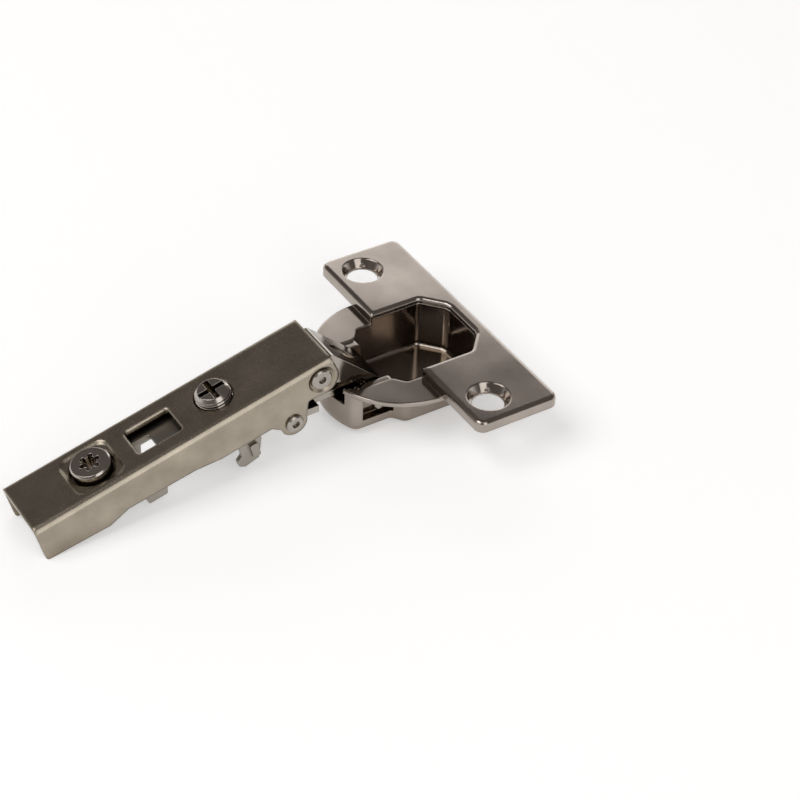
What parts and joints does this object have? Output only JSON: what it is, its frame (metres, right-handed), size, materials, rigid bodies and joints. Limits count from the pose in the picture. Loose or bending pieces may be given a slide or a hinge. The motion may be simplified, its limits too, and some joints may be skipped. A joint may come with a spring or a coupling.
{
  "type": "concealed cup hinge",
  "caption": "Concealed cup hinge for a cabinet door: pressed cup with screw flange, two links, and a long clip-on arm with depth and side adjusters, shown open.",
  "frame": {"origin": "centre of the cup bore on the face of the door", "axes": "+Z out of the door face, +Y along the pivots and the flange, +X from the arm to the middle of the door"},
  "size_m": [0.1028, 0.0616, 0.0247],
  "materials": {
    "cup_nickel": "nickel plate, semi-gloss",
    "arm_nickel": "nickel plate, satin with fine grain",
    "link_nickel": "nickel plate, satin",
    "inner_nickel": "nickel plate, satin",
    "screw_steel": "dark nickel plate",
    "rivet_steel": "nickel plate",
    "pin_steel": "bright steel",
    "spring_steel": "spring wire"
  },
  "bodies": {
    "cup": {"hinge_cup": "cup_nickel", "upper_cup_pin": "pin_steel", "lower_cup_pin": "pin_steel", "closing_spring": "spring_steel"},
    "outer_link": {"outer_link": "link_nickel"},
    "inner_link": {"inner_link": "link_nickel"},
    "arm_casing": {"arm_casing": "arm_nickel", "front_rivet": "rivet_steel", "rear_rivet": "rivet_steel"},
    "cam_washer": {"cam_washer": "inner_nickel"},
    "side_screw": {"side_screw": "screw_steel"},
    "depth_cam": {"depth_cam": "screw_steel"},
    "inner_arm": {"inner_arm": "inner_nickel", "catch_pin": "pin_steel"},
    "release_catch": {"release_catch": "inner_nickel", "catch_spring": "spring_steel"}
  },
  "joints": [
    {"name": "outer_link_swing", "type": "hinge", "parent": "cup", "child": "outer_link", "pos_m": [-0.0088, 0, -0.006], "axis": [0, 1, 0], "range_deg": [0, 100]},
    {"name": "arm_swing", "type": "hinge", "parent": "outer_link", "child": "arm_casing", "pos_m": [-0.0224, 0, 0.00612], "axis": [0, 1, 0], "range_deg": [0, 4.8]},
    {"name": "inner_link_swing", "type": "hinge", "parent": "cup", "child": "inner_link", "pos_m": [-0.0105, 0, -0.00205], "axis": [0, 1, 0], "range_deg": [0, 123.1]},
    {"name": "side_adjust", "type": "hinge", "parent": "arm_casing", "child": "cam_washer", "pos_m": [-0.06886, 0, -0.00211], "axis": [0, 1, 0], "range_deg": [-1.8, 1.8]},
    {"name": "side_screw_turn", "type": "hinge", "parent": "cam_washer", "child": "side_screw", "pos_m": [-0.04246, 0, 0.00485], "axis": [-0.2549, 0, 0.967], "range_deg": [-390, 390]},
    {"name": "depth_adjust", "type": "slide", "parent": "cam_washer", "child": "inner_arm", "axis": [0.967, 0, 0.2549], "range_m": [-0.00106, 0.00106]},
    {"name": "depth_cam_turn", "type": "hinge", "parent": "cam_washer", "child": "depth_cam", "pos_m": [-0.06886, 0, -0.00211], "axis": [-0.2549, 0, 0.967], "range_deg": [-45.1, 45.1]},
    {"name": "catch_release", "type": "hinge", "parent": "inner_arm", "child": "release_catch", "pos_m": [-0.07507, 0, -0.00953], "axis": [0, 1, 0], "range_deg": [0, 12], "stiffness_Nm_per_rad": 0.02, "springref_deg": -11.46}
  ],
  "couplings": [
    {"joint": "arm_swing", "follows": "outer_link_swing", "ratio": 0.0477},
    {"joint": "inner_link_swing", "follows": "outer_link_swing", "ratio": 1.23},
    {"joint": "side_screw_turn", "follows": "side_adjust", "ratio": 214.4},
    {"joint": "depth_cam_turn", "follows": "depth_adjust", "rad_per_m": -740.7}
  ]
}
